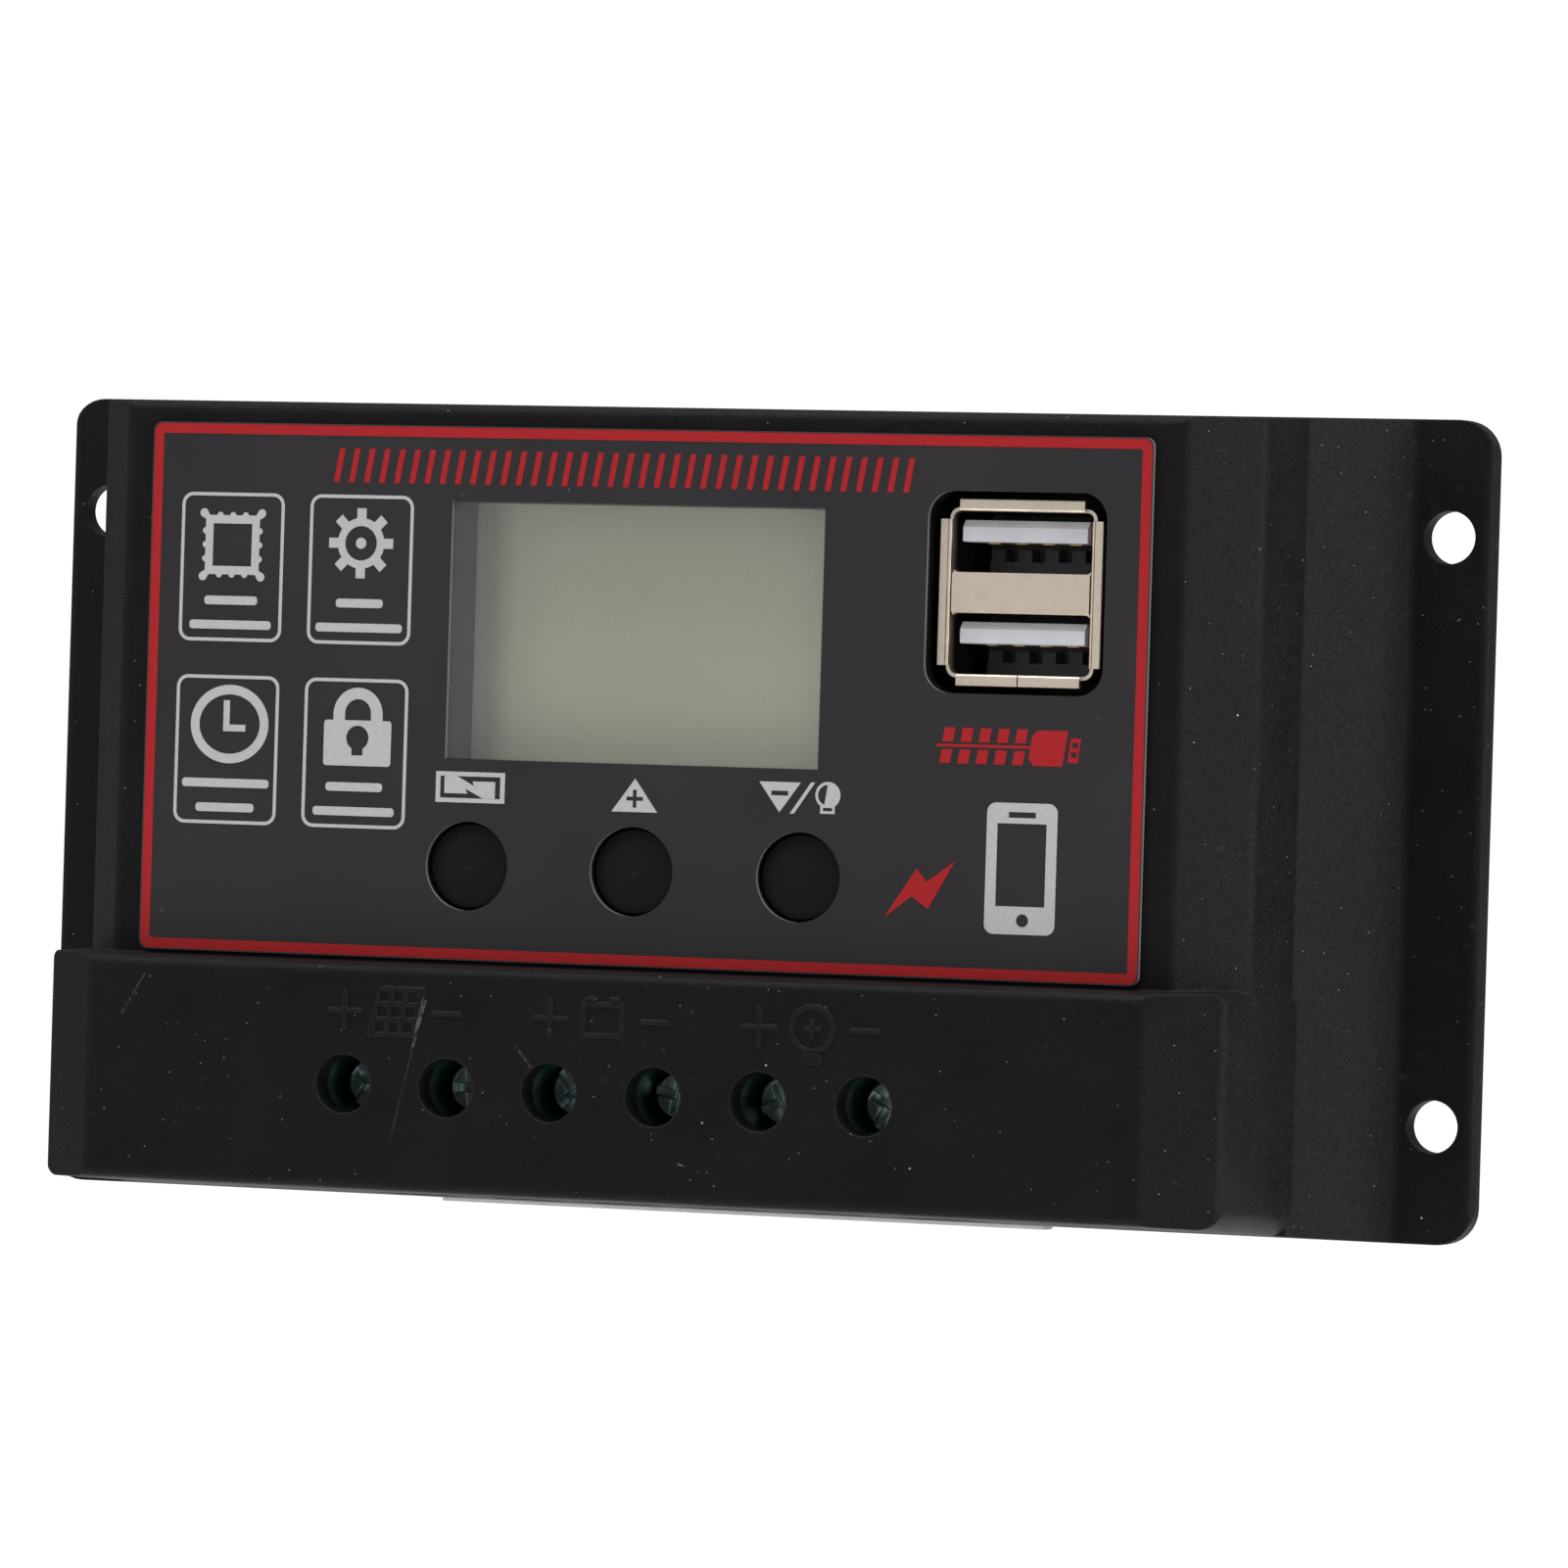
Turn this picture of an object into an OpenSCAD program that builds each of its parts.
// Solar charge controller: a wall-mounted case with a display, three buttons,
// two USB ports and a six-pole screw terminal behind a raised hump.
// Each module draws in the plate frame: x right, y up, z out from the wall.
// upright() then stands it up, so the finished part faces -Y with +Z up.

/* [Case] */
// Overall width over the mounting ears
case_w = 133.5; // [125:0.5:165]
// Overall height
case_h = 70; // [68:0.5:90]
// Height of the front face above the wall
face_z = 28.6; // [27:0.1:40]
// Height of the terminal hump above the wall
hump_z = 34.2; // [33:0.1:50]
// Half width between the upright side walls
wall_x = 53.5; // [52:0.1:56]
// Thickness of the moulded walls
wall = 2; // [1.6:0.1:2.5]
// Thickness of the mounting ears
ear_t = 2; // [1.5:0.1:3]
// Width of each flared skirt beside the ears
skirt_w = 6.2; // [4:0.1:7]
// Height where the skirts meet the side walls
skirt_z = 12; // [8:0.5:13]
// Width of the chamfer between side wall and face
chamfer_w = 5.2; // [3:0.1:7]
// Depth of that chamfer
chamfer_d = 6.2; // [3:0.1:7]
// Height of the hump, measured up from the bottom edge
hump_h = 21; // [19.5:0.5:24]

/* [Wall mounting] */
// Diameter of the four ear holes
ear_hole_d = 4.5; // [3:0.1:5]
// Distance from an ear hole to the outer side edge
ear_hole_inset = 3.75; // [3.2:0.05:4.5]
// Hole spacing up the case
ear_hole_h = 50; // [30:1:60]

/* [Face] */
// Width of the display window
window_w = 34.2; // [26:0.1:36]
// Height of the display window
window_h = 22; // [16:0.1:23]
// Centre of the display window to the right of the case centre
window_x = -0.4; // [-2:0.1:2]
// Centre of the display window above the case centre
window_y = 14.7; // [14:0.1:17]
// Depth of the display glass below the overlay
window_depth = 5.6; // [3:0.1:6.5]
// Width of the printed overlay
label_w = 91.6; // [84:0.1:93]
// Thickness of the printed overlay
label_t = 0.4; // [0.2:0.05:0.6]
// Diameter of the button holes
button_hole_d = 7.6; // [6.5:0.1:8]
// Gap round each button cap
button_gap = 0.25; // [0.15:0.05:0.4]
// Spacing of the buttons
button_pitch = 15.2; // [12:0.1:18]
// Centre of the buttons above the case centre
button_y = -5.4; // [-6:0.1:-5]
// Travel of a button
button_travel = 0.5; // [0.3:0.05:0.6]

/* [USB ports] */
// Centre of the ports to the right of the case centre
usb_x = 33.9; // [32:0.1:35]
// Centre of the ports above the case centre
usb_y = 18.9; // [15:0.1:20]
// Gap between the mouth tabs and the face opening
usb_gap = 0.6; // [0.3:0.05:0.8]

/* [Terminals] */
// Number of poles
poles = 6; // [2:1:6]
// Pitch of the poles
pole_pitch = 9.5; // [7.9:0.1:11.4]
// Distance from the bottom edge to the row of screws
screw_row = 10.8; // [10:0.1:11.5]
// Diameter of a terminal screw's shank
screw_d = 3; // [2.5:0.1:3.5]
// Diameter of a terminal screw's head
screw_head_d = 4.7; // [4.5:0.1:5.3]
// Travel of the wire clamps
clamp_travel = 3.4; // [2:0.1:3.6]

/* [Board] */
// Height of the board's rear face above the wall
board_z = 11.4; // [9.5:0.1:13.7]
// Thickness of the board
board_t = 1.6; // [1:0.1:2]

/* [Heat sink] */
// Width of the aluminium plate
sink_w = 56.6; // [50:0.5:60]
// Thickness of the aluminium plate
sink_t = 2; // [1.5:0.1:2.5]
// How far the plate's lower end stands below the case
sink_lip = 0.3; // [0:0.1:1]

/* [Hidden] */
$fn = 48;
eps = 0.01;
fit = 0.05;
gap = 0.15;

// case outline
skirt_x = wall_x + skirt_w;
face_x = wall_x - chamfer_w;
shoulder_z = face_z - chamfer_d;
hump_x = wall_x + 0.35;
hump_face_x = face_x - 0.4;
hump_shoulder_z = hump_z - 4.7;
hump_y = hump_h - case_h / 2;
top_draft = 1.1;
foot_draft = 1.9;
ear_r = 3.1;
ear_edge = 0.9;
corner_r = 1.7;
hump_top_r = 1.5;
ear_x = case_w / 2 - ear_hole_inset;
skirt_run = skirt_w / (skirt_z - ear_t);
shoulder_run = chamfer_w / chamfer_d;
hump_run = (wall_x - hump_face_x) / (hump_z - hump_shoulder_z);
foot_run = foot_draft / (hump_z - ear_t);
foot_lean = atan(foot_run);
inner_x = wall_x - wall;
seat_x = skirt_x - offset_run(skirt_run);
seat_y = case_h / 2 - wall;

// rear parts
back_t = 2;
rim_t = 1.2;
sink_top = 20;
sink_bottom = -case_h / 2 - sink_lip;
boss_d = 6.4;
boss_x = inner_x - 4.5;
boss_y = case_h / 2 - 7;
collar_z = back_t + 1.8;
case_screw_d = 2.6;
case_head_d = 5;
case_head_t = 1.7;
standoff_x = inner_x - 8;
standoff_y = 19;
standoff_d = 6;
plate_screw_x = sink_w / 2 - 3.3;
plate_screw_ys = [-8, -27];
plate_boss_d = 6;

// board
board_top = board_z + board_t;
board_w = 2 * inner_x - 4;
board_h = case_h - 8.4;
notch = boss_d + 1.2;

// printed overlay
label_top = case_h / 2 - 2.95;
label_foot = hump_y + 0.55;

// display, from the front backwards
glass_z = face_z + label_t - window_depth;
glass_w = window_w + 4;
glass_h = window_h + 4;
glass_t = 2.2;
film_t = 0.2;
light_t = 3;
light_z = glass_z - glass_t - film_t - light_t;
frame_wall = 1.5;
pin_t = 0.4;
pin_room = 0.6;
pin_pitch = 2;
pins = 16;

// buttons
button_xs = [-button_pitch, 0, button_pitch];
cap_d = button_hole_d - 2 * button_gap;
flange_d = cap_d + 1.2;
flange_t = 1.1;
cap_top = face_z - 0.1;
flange_z = face_z - wall - fit;
stem_d = 3.4;
stem_top = flange_z - flange_t - 0.6;
socket_d = 5;
socket_z = stem_top - 2.6;
switch_w = 6;
switch_h = 3.4;

// terminal block
row_w = poles * pole_pitch;
row_y = screw_row - case_h / 2;
block_w = row_w + 0.6;
block_top = hump_z - wall - 0.8;
block_foot = -seat_y + foot_run * (hump_z - wall) + gap;
block_back = row_y + 6.7;
head_t = 1.8;
head_top = hump_z - 5.6;
seat_z = head_top - head_t - fit;
chamber_w = pole_pitch - 2.1;
chamber_h = 8.4;
chamber_top = seat_z - 1.05;
clamp_wall = 1.2;
clamp_w = chamber_w - 0.5;
clamp_h = 6.8;
clamp_t = chamber_top - clamp_travel - board_top - 1.25;
clamp_z = board_top + 1.15;
plate_t = 0.8;
clamp_room = clamp_w - 2 * clamp_wall + 0.4;
plate_w = clamp_room - 0.5;
plate_z = clamp_z + clamp_t - clamp_wall - 0.2 - plate_t;
tip_z = plate_z + plate_t + 0.1;
entry_z = board_top + 1;
entry_h = 6.6;
access_d = screw_head_d + 0.3;
well_d = screw_head_d + 0.6;
pin_y = block_back - 1.6;

// raised signs on the hump
relief_t = 0.2;
stroke = 0.3;
sign_y = row_y + 6.3;

// USB ports
port_w = 12.5;
port_h = 5.12;
bar_h = 3.4;
sheet = 0.3;
mouth_z = face_z + label_t - 1.1;
port_back = mouth_z - 9.5;
shell_w = port_w + 2 * sheet;
shell_h = 2 * port_h + bar_h + 2 * sheet;
tab_reach = 0.75;
tab_bend = 0.45;
tab_t = 0.45;
tab_foot = 1.6;
side_room = 0.06;
cut_w = shell_w + 2 * (tab_reach + usb_gap + side_room);
cut_h = shell_h + 2 * (tab_reach + usb_gap);
cut_r = 2.3;
slit = 0.12;
comb_z = mouth_z - 7.5;
port_step = (port_h + bar_h) / 2;
tongue_w = 11.1;
tongue_t = 1.84;
tongue_y = port_h / 2 - 0.72 - tongue_t / 2;
tongue_z = mouth_z - 0.9;
bevel = 0.6;

// power transistors, lying on the plate below the board
fet_pitch = 12;
fet_xs = [for (i = [-1.5:1:1.5]) i * fet_pitch];
pad_t = 0.3;
fet_tab_t = 1.3;
fet_w = 10;
fet_z = sink_t + pad_t;
fet_body_y = 2;
fet_body_h = 9;
fet_hole_y = fet_body_y + fet_body_h + 3.4;
fet_pin_y = fet_body_y - 3.6;

// parts standing on the board
room = face_z - wall - board_top;
chip_at = [0, 12];
chip_w = 10;
coil_at = [37, -3];
cap_x = -35;

// ---------------------------------------------------------------- helpers

// sideways inset that keeps a slanted wall at full thickness
function offset_run(run) = wall * sqrt(1 + run * run);
function unit(v) = v / norm(v);

// arc that replaces the corner b between a and c
function corner(a, b, c, r, steps = 8) =
    r <= 0 ? [b] :
    let (
        u = unit(a - b),
        v = unit(c - b),
        half = acos(u * v) / 2,
        reach = r / tan(half),
        centre = b + unit(u + v) * r / sin(half),
        p = b + u * reach - centre,
        q = b + v * reach - centre,
        start = atan2(p.y, p.x),
        turn = (atan2(q.y, q.x) - start + 540) % 360 - 180
    )
    [for (i = [0:steps]) centre + r * [cos(start + turn * i / steps), sin(start + turn * i / steps)]];

// outline with rounded corners, from points given as [x, y, radius]
function rounded(pts) =
    let (n = len(pts), at = function(i) [pts[i % n].x, pts[i % n].y])
    [for (i = [0:n - 1]) each corner(at(i + n - 1), at(i), at(i + 1), pts[i][2])];

// right half of a profile, given bottom to top, and its mirror image
function both_sides(half) =
    concat(half, [for (i = [len(half) - 1:-1:0]) [-half[i].x, half[i].y, half[i][2]]]);

module upright() {
    rotate([90, 0, 0]) children();
}

// extrudes an (x, z) profile up the case
module along_y(from, to) {
    translate([0, to, 0]) rotate([90, 0, 0]) linear_extrude(to - from) children();
}

// extrudes a (y, z) profile across the case
module along_x(w) {
    rotate([90, 0, 90]) linear_extrude(w, center = true) children();
}

module block(size, at = [0, 0, 0]) {
    translate([at.x - size.x / 2, at.y - size.y / 2, at.z]) cube(size);
}

module plate(w, h, r, z0, z1) {
    translate([0, 0, z0]) linear_extrude(z1 - z0) polygon(rounded([
        [w / 2, -h / 2, r], [w / 2, h / 2, r], [-w / 2, h / 2, r], [-w / 2, -h / 2, r]
    ]));
}

module rod(d, z0, z1, at = [0, 0]) {
    translate([at.x, at.y, z0]) cylinder(d = d, h = z1 - z0);
}

module at_corners(x, y) {
    for (sx = [-1, 1], sy = [-1, 1]) translate([sx * x, sy * y, 0]) children();
}

module at_poles() {
    for (i = [1:poles]) translate([pole_x(i), row_y, 0]) children();
}

function pole_x(i) = (i - (poles + 1) / 2) * pole_pitch;

// screw along z with a pan head; the head is at the top
module pan_screw(d, head_d, seat, head, tip) {
    difference() {
        union() {
            rod(d, tip, seat + eps);
            rod(head_d, seat, seat + head);
        }
        for (turn = [0, 90]) rotate(turn)
            block([head_d * 0.62, 0.8, head], [0, 0, seat + head * 0.45]);
    }
}

// ---------------------------------------------------------------- case

module body_outer() {
    intersection() {
        union() {
            plate(case_w, case_h, ear_r, -eps, skirt_z);
            wall_outline(wall_x, skirt_z - eps, case_h / 2, 0.5);
        }
        along_y(-case_h, case_h) polygon(rounded(both_sides([
            [case_w / 2, 0, 0], [case_w / 2, ear_t, ear_edge], [skirt_x, ear_t, 0.9],
            [wall_x, skirt_z, 0.5], [wall_x, shoulder_z, 1.8], [face_x, face_z, 1.5]
        ])));
        along_x(2 * case_w) polygon(rounded([
            [-case_h / 2, 0, 0.3], [case_h / 2, 0, 0.3], [case_h / 2, ear_t, 0.3],
            [case_h / 2 - top_draft, face_z, 1], [-case_h / 2 + foot_run * (face_z - ear_t), face_z, 0.5],
            [-case_h / 2, ear_t, 0.3]
        ]));
    }
}

// outline of the walls above the skirts; its lower corners are rounded and lean with the foot
module wall_outline(x, z0, top_y, top_r) {
    intersection() {
        translate([0, 0, z0]) linear_extrude(hump_z - z0) polygon(rounded(both_sides([
            [x, -case_h, 0], [x, top_y, top_r]
        ])));
        translate([0, -case_h / 2, ear_t]) rotate([-foot_lean, 0, 0])
            translate([0, 0, -hump_z]) linear_extrude(3 * hump_z) polygon(rounded(both_sides([
                [x, 0, corner_r], [x, 2 * case_h, 0]
            ])));
    }
}

module hump_outer() {
    intersection() {
        along_y(-case_h, case_h) polygon(rounded(both_sides([
            [hump_x, skirt_z - 0.7, 0], [hump_x, hump_shoulder_z, 1.5], [hump_face_x, hump_z, 1.2]
        ])));
        along_x(2 * case_w) polygon(rounded([
            [-case_h / 2, ear_t, 0], [hump_y + 0.3, ear_t, 0], [hump_y + 0.3, face_z - 3, 0],
            [hump_y, hump_z, 0.9], [-case_h / 2 + foot_draft, hump_z, 1]
        ]));
        wall_outline(hump_x, 0, hump_y + 0.3, hump_top_r);
    }
}

module body_inner() {
    intersection() {
        along_y(-case_h, case_h) polygon(rounded(both_sides([
            [seat_x, -1, 0], [seat_x, back_t, 0],
            [inner_x, back_t + (seat_x - inner_x) / skirt_run, 0],
            [inner_x, shoulder_z - (offset_run(shoulder_run) - wall) / shoulder_run, 0],
            [wall_x - offset_run(shoulder_run) - shoulder_run * (chamfer_d - wall), face_z - wall, 0]
        ])));
        along_x(2 * case_w) polygon([
            [-seat_y, -1], [seat_y, -1], [seat_y, back_t], [seat_y - top_draft, face_z - wall],
            [-seat_y + foot_run * (face_z - wall), face_z - wall], [-seat_y, back_t]
        ]);
    }
}

module hump_inner() {
    intersection() {
        along_y(-case_h, case_h) polygon(rounded(both_sides([
            [inner_x, skirt_z, 0],
            [inner_x, hump_shoulder_z - (offset_run(hump_run) - wall) / hump_run, 0],
            [wall_x - offset_run(hump_run) - hump_run * (hump_z - wall - hump_shoulder_z), hump_z - wall, 0]
        ])));
        along_x(2 * case_w) polygon([
            [-seat_y, back_t], [hump_y - wall, back_t], [hump_y - wall, hump_z - wall],
            [-seat_y + foot_run * (hump_z - wall), hump_z - wall]
        ]);
    }
}

module window_rim() {
    difference() {
        block([window_w + 3, window_h + 3, face_z - wall - glass_z], [window_x, window_y, glass_z + fit]);
        block([window_w, window_h, face_z], [window_x, window_y, 0]);
    }
}

// raised signs beside the terminal screws: plus, minus and a picture for each pair
module plus_sign() {
    block([3.2, stroke, relief_t]);
    block([stroke, 3.2, relief_t]);
}

module minus_sign() {
    block([2.6, stroke, relief_t]);
}

module panel_sign() {
    slant = 0.16;
    linear_extrude(relief_t) difference() {
        polygon([[-2.3 - 2.3 * slant, -2.1], [2.0, -2.1], [2.3 + 2.3 * slant, 2.1], [-1.5, 2.1]]);
        for (row = [-1:1], col = [-1:1])
            translate([col * 1.3 + row * 1.3 * slant + 0.05, row * 1.3]) square(0.95, center = true);
    }
}

module battery_sign() {
    linear_extrude(relief_t) {
        difference() {
            square([3.8, 2.9], center = true);
            square([3.8, 2.9] - 2 * [stroke, stroke], center = true);
        }
        for (side = [-1, 1]) translate([side * 1.1, 1.65]) square([0.8, 0.5], center = true);
    }
}

module bulb_sign() {
    linear_extrude(relief_t) {
        difference() {
            circle(d = 4);
            circle(d = 4 - 2 * stroke);
        }
        for (turn = [0, 90]) rotate(turn) square([1.5, stroke], center = true);
        translate([0, -2.5]) square([1.6, 0.9], center = true);
    }
}

module signs() {
    for (pair = [0:2]) translate([(pair - 1) * 2 * pole_pitch, sign_y, hump_z - eps]) {
        translate([-pole_pitch / 2, 0, 0]) plus_sign();
        translate([pole_pitch / 2, 0, 0]) minus_sign();
        if (pair == 0) panel_sign();
        if (pair == 1) battery_sign();
        if (pair == 2) bulb_sign();
    }
}

module front_cover() {
    upright() color([0.09, 0.085, 0.088]) {
        difference() {
            union() {
                difference() {
                    union() {
                        body_outer();
                        hump_outer();
                    }
                    body_inner();
                    hump_inner();
                }
                intersection() {
                    union() {
                        body_outer();
                        hump_outer();
                    }
                    at_corners(boss_x, boss_y) rod(boss_d, collar_z, hump_z);
                }
                window_rim();
            }
            at_corners(ear_x, ear_hole_h / 2) rod(ear_hole_d, -1, ear_t + 1);
            at_corners(boss_x, boss_y) rod(case_screw_d + 2 * fit, 0, 16);
            block([window_w, window_h, hump_z], [window_x, window_y, board_top]);
            for (x = button_xs) rod(button_hole_d, face_z - wall - 1, hump_z, [x, button_y]);
            translate([usb_x, usb_y, 0]) plate(cut_w, cut_h, cut_r, face_z - wall - 1, hump_z);
            at_poles() rod(access_d, hump_z - wall - 1, hump_z + 1);
            for (i = [1:poles])
                block([chamber_w, 6, entry_h], [pole_x(i), -case_h / 2 + 1, entry_z]);
            block([sink_w + 2 * gap, 2 * wall + 2, sink_t + gap + 1], [0, -case_h / 2, -1]);
        }
        signs();
    }
}

module back_cover() {
    upright() color([0.10, 0.10, 0.10]) difference() {
        union() {
            difference() {
                union() {
                    plate(2 * (seat_x - gap), 2 * (seat_y - gap), 0.5, 0, back_t);
                    at_corners(boss_x, boss_y) rod(case_head_d + 3, 0, collar_z - fit);
                    at_corners(standoff_x, standoff_y) rod(standoff_d, 0, board_z);
                    block([sink_w + 5, sink_top + seat_y - gap + 2.5, back_t + rim_t],
                        [0, (sink_top + 2.5 - seat_y + gap) / 2, 0]);
                }
                // seat for the aluminium plate, open towards the bottom edge
                block([sink_w + 2 * gap, 2 * case_h, sink_t + 1], [0, sink_top + gap - case_h, -1]);
                block([sink_w - 4, 2 * case_h, back_t + rim_t + 1], [0, sink_top - 1.2 - case_h, -1]);
            }
            for (x = [-1, 1], y = plate_screw_ys) {
                rod(plate_boss_d, sink_t, back_t + 4, [x * plate_screw_x, y]);
                block([plate_boss_d, plate_boss_d, rim_t], [x * (plate_screw_x + 2), y, sink_t]);
            }
        }
        for (x = [-1, 1], y = plate_screw_ys)
            rod(2.5 + 2 * fit, -1, back_t + 3, [x * plate_screw_x, y]);
        at_corners(boss_x, boss_y) {
            rod(case_head_d + 0.4, -1, back_t);
            rod(case_screw_d + 0.3, -1, collar_z + 1);
        }
        at_corners(standoff_x, standoff_y) rod(2.2 + 2 * fit, board_z - 7, board_z + 1);
        // cooling slots either side of the plate
        for (side = [-1, 1], i = [-5:5])
            block([7, 1.6, 2 * back_t], [side * (sink_w / 2 + 7), i * 4 - 1, -1]);
    }
}

module heat_sink_plate() {
    upright() color([0.78, 0.78, 0.79]) difference() {
        block([sink_w, sink_top - sink_bottom, sink_t], [0, (sink_top + sink_bottom) / 2, 0]);
        for (x = fet_xs) rod(3 + 2 * fit, 0.6, sink_t + 1, [x, fet_hole_y]);
        for (x = [-1, 1], y = plate_screw_ys) {
            rod(2.9, -1, sink_t + 1, [x * plate_screw_x, y]);
            rod(5, -1, 1.1, [x * plate_screw_x, y]);
        }
    }
}

// ---------------------------------------------------------------- face

module face_label() {
    upright() color([0.16, 0.16, 0.165]) difference() {
        translate([0, (label_top + label_foot) / 2, 0])
            plate(label_w, label_top - label_foot, 0.8, face_z, face_z + label_t);
        block([window_w, window_h, hump_z], [window_x, window_y, 0]);
        for (x = button_xs) rod(button_hole_d, face_z - 1, hump_z, [x, button_y]);
        translate([usb_x, usb_y, 0]) plate(cut_w, cut_h, cut_r, face_z - 1, hump_z);
    }
}

module window_lens() {
    upright() color([0.8, 0.85, 0.85, 0.3])
        block([window_w - 2 * fit, window_h - 2 * fit, label_t - fit], [window_x, window_y, face_z]);
}

module lcd_glass() {
    upright() color([0.53, 0.55, 0.49])
        block([glass_w, glass_h, glass_t], [window_x, window_y, glass_z - glass_t]);
}

module lcd_reflector() {
    upright() color([0.6, 0.62, 0.58])
        block([glass_w - 1, glass_h - 1, film_t], [window_x, window_y, glass_z - glass_t - film_t]);
}

module backlight_panel() {
    upright() color([0.9, 0.93, 0.9])
        block([glass_w, glass_h, light_t], [window_x, window_y, light_z]);
}

module display_frame() {
    outer = [glass_w + 2 * fit + 2 * frame_wall, glass_h + 2 * fit + 2 * frame_wall + pin_room];
    upright() color([0.9, 0.9, 0.88]) difference() {
        block([outer.x, outer.y, glass_z - board_top], [window_x, window_y + pin_room / 2, board_top]);
        block([glass_w + 2 * fit, glass_h + 2 * fit, glass_z], [window_x, window_y, light_z]);
        block([glass_w - 3, glass_h - 3, glass_z], [window_x, window_y, board_top - 1]);
        // pocket for the row of pins
        block([pins * pin_pitch + 1, 1 + pin_room, glass_z],
            [window_x, window_y + glass_h / 2 + (pin_room - 1) / 2 + fit, board_top - 1]);
    }
}

module display_pins() {
    upright() color([0.8, 0.78, 0.7]) for (i = [0:pins - 1])
        block([0.5, pin_t, glass_z - 0.2 - board_z + 1.5],
            [window_x + (i - (pins - 1) / 2) * pin_pitch, window_y + glass_h / 2 + pin_t / 2, board_z - 1.5]);
}

// ---------------------------------------------------------------- buttons

module button_cap(x) {
    upright() color([0.05, 0.05, 0.05]) translate([x, button_y, 0]) difference() {
        union() {
            intersection() {
                rod(cap_d, flange_z - eps, cap_top);
                translate([0, 0, cap_top - 20]) sphere(r = 20, $fn = 96);
            }
            rod(flange_d, flange_z - flange_t, flange_z);
            rod(socket_d, socket_z, flange_z - flange_t + eps);
        }
        rod(stem_d + 2 * fit, socket_z - 1, stem_top + fit);
    }
}

module switch_stem(x) {
    upright() color([0.12, 0.12, 0.12])
        rod(stem_d, board_top + 2, stem_top, [x, button_y]);
}

module menu_button() {
    button_cap(button_xs[0]);
}

module up_button() {
    button_cap(button_xs[1]);
}

module down_button() {
    button_cap(button_xs[2]);
}

module menu_switch_stem() {
    switch_stem(button_xs[0]);
}

module up_switch_stem() {
    switch_stem(button_xs[1]);
}

module down_switch_stem() {
    switch_stem(button_xs[2]);
}

module switch_bodies() {
    upright() color([0.1, 0.1, 0.1]) for (x = button_xs) difference() {
        block([switch_w, switch_w, switch_h], [x, button_y, board_top]);
        rod(stem_d + 0.6, board_top + 2 - button_travel - 0.4, hump_z, [x, button_y]);
    }
}

module switch_covers() {
    upright() color([0.75, 0.75, 0.76]) for (x = button_xs) difference() {
        block([switch_w, switch_w, 0.3], [x, button_y, board_top + switch_h]);
        rod(stem_d + 0.6, board_top, hump_z, [x, button_y]);
    }
}

// ---------------------------------------------------------------- USB ports

module mouth_tab(w) {
    // bent-out strip: an L with a round bend, drawn in (outwards, z) and run along the edge
    rotate([90, 0, 90]) linear_extrude(w, center = true) polygon(rounded([
        [0, -tab_foot, 0], [sheet, -tab_foot, 0], [sheet, -tab_t, 0],
        [tab_reach + sheet, -tab_t, 0], [tab_reach + sheet, 0, 0.15], [0, 0, tab_bend / 2]
    ]));
}

module usb_shell() {
    tab_w = port_w - 1.4;
    tab_h = shell_h - 2;
    upright() color([0.76, 0.71, 0.62]) translate([usb_x, usb_y, 0]) difference() {
        union() {
            difference() {
                plate(shell_w, shell_h, 0.9, board_top, mouth_z - tab_bend);
                for (s = [-1, 1]) translate([0, s * port_step, 0])
                    plate(port_w, port_h, 0.6, port_back, hump_z);
                block([port_w, shell_h - 2 * sheet, port_back - board_top + 1], [0, 0, board_top - 1]);
            }
            // front of the bar between the ports
            block([port_w, bar_h - 0.1, tab_bend - 0.1 + eps], [0, 0, mouth_z - tab_bend - eps]);
            translate([0, shell_h / 2 - sheet, mouth_z]) mouth_tab(tab_w);
            for (half = [-1, 1]) translate([half * tab_w / 4, sheet - shell_h / 2, mouth_z])
                mirror([0, 1, 0]) mouth_tab(tab_w / 2 - slit);
            for (side = [-1, 1]) translate([side * port_w / 2, 0, mouth_z])
                rotate(-90 * side) mouth_tab(tab_h);
        }
        // slits beside the side tabs and at the ends of the bar
        for (side = [-1, 1]) {
            block([slit, tab_h + 1, 1], [side * (port_w / 2 + 0.27), 0, mouth_z - 0.3]);
            block([slit, bar_h + 1, 2], [side * (port_w - slit) / 2, 0, mouth_z - tab_foot]);
        }
    }
}

module usb_insulator() {
    upright() color([0.13, 0.13, 0.14]) translate([usb_x, usb_y, 0]) {
        block([port_w - 2 * fit, shell_h - 2 * sheet - 2 * fit, port_back - board_top - fit],
            [0, 0, board_top]);
        for (s = [-1, 1]) translate([0, s * port_step - port_h / 2 + fit, port_back - fit - eps]) {
            block([tongue_w, 1, comb_z - port_back + eps], [0, 0.5 + fit, 0]);
            for (i = [-2:2]) block([1.2, 2, comb_z - port_back + eps], [i * 2.4, 1.05, 0]);
        }
    }
}

module usb_tongues() {
    upright() color([0.72, 0.73, 0.78]) translate([usb_x, usb_y, 0])
        for (s = [-1, 1]) translate([0, s * port_step + tongue_y, 0]) {
            along_x(tongue_w) polygon(rounded([
                [-tongue_t / 2, port_back, 0], [tongue_t / 2, port_back, 0],
                [tongue_t / 2, tongue_z - bevel, 0.1], [tongue_t / 2 - bevel, tongue_z, 0.1],
                [-tongue_t / 2, tongue_z, 0.2]
            ]));
        }
}

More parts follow.
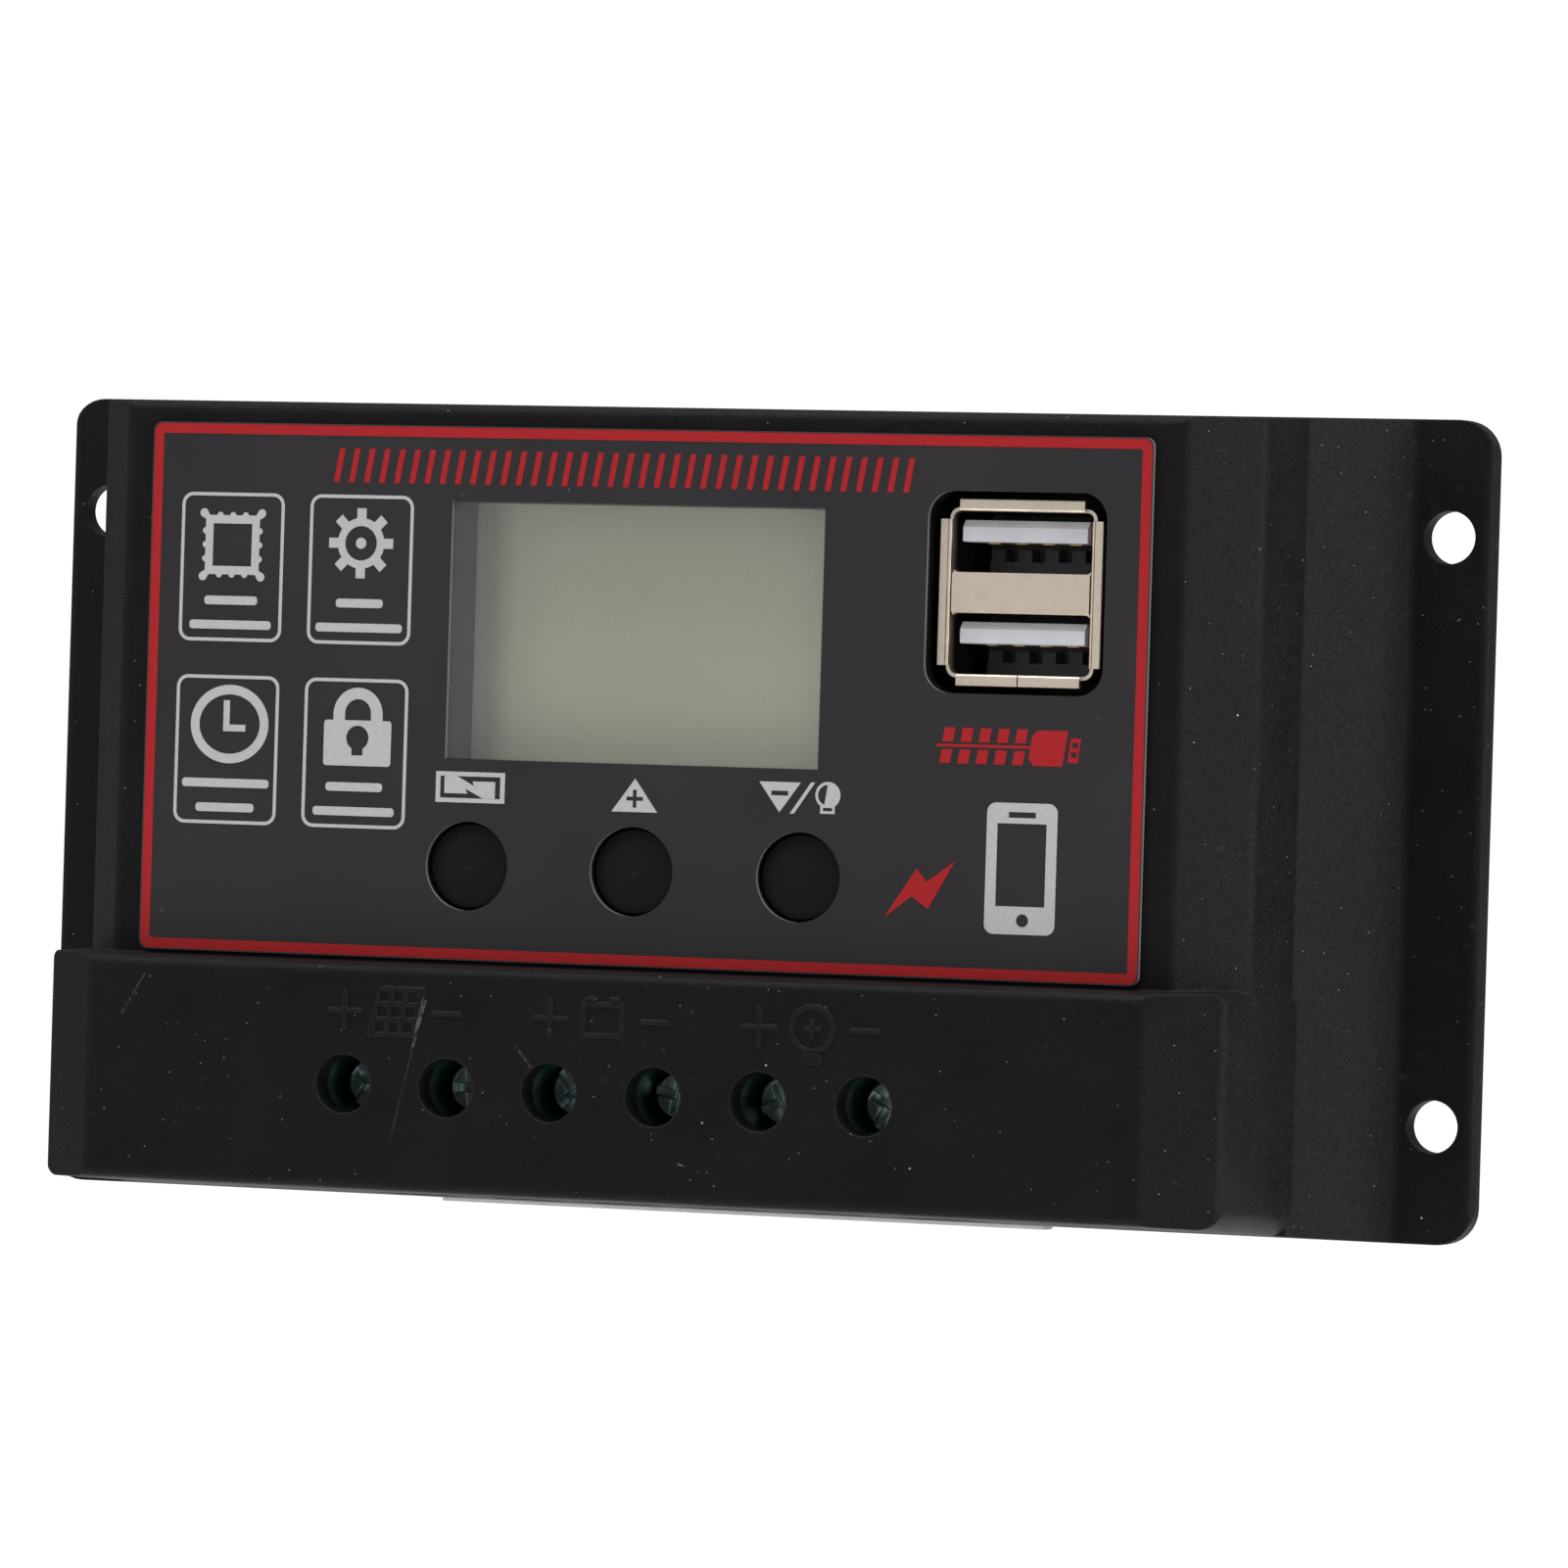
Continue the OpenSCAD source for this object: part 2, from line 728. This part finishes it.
module usb_contacts() {
    upright() color([0.8, 0.65, 0.3]) translate([usb_x, usb_y, 0])
        for (s = [-1, 1], i = [-1.5:1:1.5])
            block([1, 0.1, tongue_z - 2.5 - port_back],
                [i * 2.4, s * port_step + tongue_y - tongue_t / 2 - 0.05, port_back]);
}

// ---------------------------------------------------------------- board

module main_board() {
    upright() color([0.05, 0.28, 0.14]) difference() {
        block([board_w, board_h, board_t], [0, 0, board_z]);
        at_corners(boss_x, boss_y) {
            rod(notch, 0, hump_z);
            block([notch, notch, hump_z]);
        }
        at_corners(standoff_x, standoff_y) rod(2.6, 0, hump_z);
        for (x = fet_xs, i = [-1:1]) rod(1.3, 0, hump_z, [x + i * 2.54, fet_pin_y]);
        for (i = [1:poles]) rod(1.6, 0, hump_z, [pole_x(i), pin_y]);
        block([pins * pin_pitch, 1.2, hump_z], [window_x, window_y + glass_h / 2 + pin_t / 2, 0]);
    }
}

module chip(size, at) {
    upright() color([0.12, 0.12, 0.12]) block(size, [at.x, at.y, board_top + 0.15]);
}

module control_chip() {
    chip([chip_w, chip_w, 1.4], chip_at);
}

module control_chip_leads() {
    upright() color([0.8, 0.8, 0.8]) translate([chip_at.x, chip_at.y, board_top])
        for (turn = [0:90:270], i = [-5:5]) rotate(turn) {
            block([0.35, 1, 0.15], [i * 0.8, chip_w / 2 + 0.7, 0]);
            block([0.35, 0.4, 0.75], [i * 0.8, chip_w / 2 + 0.2, 0]);
        }
}

module regulator_chip() {
    chip([4.9, 3.9, 1.5], [34, -13]);
}

module diodes() {
    upright() color([0.1, 0.1, 0.1]) for (y = [-2, -10])
        block([6.6, 5.6, 2.3], [26, y, board_top]);
}

module resistors() {
    upright() color([0.18, 0.18, 0.2]) for (i = [0:3], j = [0:1])
        block([2, 1.25, 0.5], [-6 + 4 * i, 20.4 + 2.2 * j, board_top]);
}

module crystal() {
    upright() color([0.8, 0.8, 0.8]) translate([-27, 23, board_top]) {
        for (x = [-3.2, 3.2]) rod(4.4, 0, 3.5, [x, 0]);
        block([6.4, 4.4, 3.5]);
    }
}

module input_capacitor() {
    tall = min(12.3, room - 1);
    upright() color([0.08, 0.08, 0.1]) difference() {
        rod(10, board_top, board_top + tall, [cap_x, -8]);
        for (turn = [0, 90]) translate([cap_x, -8, 0]) rotate(turn)
            block([7, 0.4, 1], [0, 0, board_top + tall - 0.2]);
    }
}

module output_capacitors() {
    tall = min(11.5, room - 1.2);
    upright() color([0.08, 0.08, 0.1]) for (y = [5, 15]) difference() {
        rod(8, board_top, board_top + tall, [cap_x, y]);
        for (turn = [0, 90]) translate([cap_x, y, 0]) rotate(turn)
            block([5.6, 0.4, 1], [0, 0, board_top + tall - 0.2]);
    }
}

module inductor_core() {
    upright() color([0.2, 0.2, 0.2]) translate([coil_at.x, coil_at.y, board_top])
        rotate_extrude() polygon([
            [0, 0], [4.5, 0], [4.5, 1.2], [2.2, 1.2], [2.2, 6.3], [4.5, 6.3], [4.5, 7.5], [0, 7.5]
        ]);
}

module inductor_coil() {
    upright() color([0.7, 0.35, 0.15]) translate([coil_at.x, coil_at.y, board_top])
        rotate_extrude() translate([2.25, 1.25]) square([1.75, 5]);
}

module shunt_wires() {
    // two bowed resistance wires between the terminals and the buttons
    upright() color([0.7, 0.66, 0.6]) for (x = [-9.5, 9.5]) {
        translate([x, -13.2, board_top + 2.5]) rotate([90, 0, 0]) intersection() {
            rotate_extrude() translate([3.5, 0]) circle(d = 1.4, $fn = 24);
            translate([-10, 0, -5]) cube([20, 10, 10]);
        }
        for (leg = [-3.5, 3.5]) rod(1.4, board_top, board_top + 2.5 + eps, [x + leg, -13.2]);
    }
}

// ---------------------------------------------------------------- transistors

module mosfet_bodies() {
    upright() color([0.08, 0.08, 0.08]) for (x = fet_xs)
        block([fet_w, fet_body_h, 3.1], [x, fet_body_y + fet_body_h / 2, fet_z + fet_tab_t]);
}

module mosfet_tabs() {
    upright() color([0.75, 0.75, 0.76]) for (x = fet_xs) difference() {
        block([fet_w, fet_body_h + 6.4, fet_tab_t], [x, fet_body_y + (fet_body_h + 6.4) / 2, fet_z]);
        rod(3.6, 0, hump_z, [x, fet_hole_y]);
    }
}

module mosfet_leads() {
    upright() color([0.8, 0.8, 0.8]) for (x = fet_xs, i = [-1:1]) {
        block([0.8, 4, 0.5], [x + i * 2.54, fet_body_y - 2, fet_z + 2.4]);
        block([0.8, 0.5, board_top + 1 - fet_z - 2.4], [x + i * 2.54, fet_pin_y - 0.15, fet_z + 2.4]);
    }
}

module mosfet_screws() {
    upright() color([0.8, 0.8, 0.8]) for (x = fet_xs) translate([x, fet_hole_y, 0])
        pan_screw(3, 5.5, fet_z + fet_tab_t, 1.9, 0.7);
}

module insulating_pad() {
    upright() color([0.75, 0.78, 0.82]) difference() {
        block([3 * fet_pitch + fet_w + 1, fet_body_h + 7.4, pad_t],
            [0, fet_body_y + fet_body_h / 2 + 3.2, sink_t]);
        for (x = fet_xs) rod(3.6, 0, hump_z, [x, fet_hole_y]);
    }
}

// ---------------------------------------------------------------- terminals

module terminal_housing() {
    upright() color([0.05, 0.25, 0.17]) difference() {
        block([block_w, block_back - block_foot, block_top - board_top],
            [0, (block_back + block_foot) / 2, board_top]);
        at_poles() {
            rod(well_d, seat_z, hump_z);
            rod(screw_d + 0.4, chamber_top - 1, hump_z);
            block([chamber_w, chamber_h, chamber_top - board_top - 1], [0, 0, board_top + 1]);
            // wire way, open at the foot
            block([chamber_w, chamber_h, entry_h], [0, block_foot - row_y, entry_z]);
            // slot for the contact plate, down to the board
            block([plate_w + 0.2, pin_y - row_y + plate_t, plate_z + plate_t - board_top + 1 + fit],
                [0, (pin_y - row_y + plate_t) / 2 + fit - 0.4, board_top - 1]);
        }
    }
}

module contact_plates() {
    upright() color([0.82, 0.82, 0.8]) at_poles() {
        block([plate_w, pin_y - row_y + 2.9, plate_t], [0, (pin_y - row_y - 2.9) / 2 + plate_t / 2, plate_z]);
        block([plate_w, plate_t, plate_z - board_top], [0, pin_y - row_y, board_top]);
        block([1.1, plate_t, board_t + 1.6], [0, pin_y - row_y, board_z - 1.5]);
    }
}

module terminal_screw(i) {
    upright() color([0.72, 0.73, 0.74]) translate([pole_x(i), row_y, 0]) difference() {
        union() {
            rod(screw_d, tip_z, head_top - head_t + eps);
            rod(screw_head_d, head_top - head_t, head_top - 0.5);
            translate([0, 0, head_top - 0.5]) cylinder(d1 = screw_head_d, d2 = screw_head_d - 1, h = 0.5);
        }
        rotate(20 + 37 * i) {
            block([screw_head_d + 1, 0.8, 2], [0, 0, head_top - 0.8]);
            block([0.8, screw_head_d * 0.7, 2], [0, 0, head_top - 1.1]);
        }
    }
}

module wire_clamp(i) {
    upright() color([0.78, 0.76, 0.68]) translate([pole_x(i), row_y, 0]) difference() {
        block([clamp_w, clamp_h, clamp_t], [0, 0, clamp_z]);
        block([clamp_room, clamp_h + 2, clamp_t - 2 * clamp_wall],
            [0, 0, clamp_z + clamp_wall]);
        rod(screw_d + 2 * fit, clamp_z + clamp_t - 2 * clamp_wall, hump_z);
    }
}

module terminal_screw_1() {
    terminal_screw(1);
}

module terminal_screw_2() {
    terminal_screw(2);
}

module terminal_screw_3() {
    terminal_screw(3);
}

module terminal_screw_4() {
    terminal_screw(4);
}

module terminal_screw_5() {
    terminal_screw(5);
}

module terminal_screw_6() {
    terminal_screw(6);
}

module wire_clamp_1() {
    wire_clamp(1);
}

module wire_clamp_2() {
    wire_clamp(2);
}

module wire_clamp_3() {
    wire_clamp(3);
}

module wire_clamp_4() {
    wire_clamp(4);
}

module wire_clamp_5() {
    wire_clamp(5);
}

module wire_clamp_6() {
    wire_clamp(6);
}

// ---------------------------------------------------------------- fasteners

module case_screws() {
    upright() color([0.75, 0.75, 0.76]) at_corners(boss_x, boss_y) mirror([0, 0, 1])
        pan_screw(case_screw_d, case_head_d, -back_t, case_head_t, -14);
}

module board_screws() {
    upright() color([0.75, 0.75, 0.76]) at_corners(standoff_x, standoff_y)
        pan_screw(2.2, 4.4, board_top, 1.5, board_z - 6);
}

module plate_screws() {
    upright() color([0.75, 0.75, 0.76]) for (x = [-1, 1], y = plate_screw_ys)
        translate([x * plate_screw_x, y, 0]) mirror([0, 0, 1])
            pan_screw(2.5, 4.6, -1.1, 1, -back_t - 2.8);
}

front_cover();
back_cover();
heat_sink_plate();
face_label();
window_lens();
lcd_glass();
lcd_reflector();
backlight_panel();
display_frame();
display_pins();
main_board();
usb_shell();
usb_insulator();
usb_tongues();
usb_contacts();
menu_button();
up_button();
down_button();
menu_switch_stem();
up_switch_stem();
down_switch_stem();
switch_bodies();
switch_covers();
terminal_housing();
terminal_screw_1();
terminal_screw_2();
terminal_screw_3();
terminal_screw_4();
terminal_screw_5();
terminal_screw_6();
wire_clamp_1();
wire_clamp_2();
wire_clamp_3();
wire_clamp_4();
wire_clamp_5();
wire_clamp_6();
contact_plates();
mosfet_bodies();
mosfet_tabs();
mosfet_leads();
mosfet_screws();
insulating_pad();
input_capacitor();
output_capacitors();
inductor_core();
inductor_coil();
control_chip();
control_chip_leads();
regulator_chip();
diodes();
resistors();
crystal();
shunt_wires();
case_screws();
board_screws();
plate_screws();
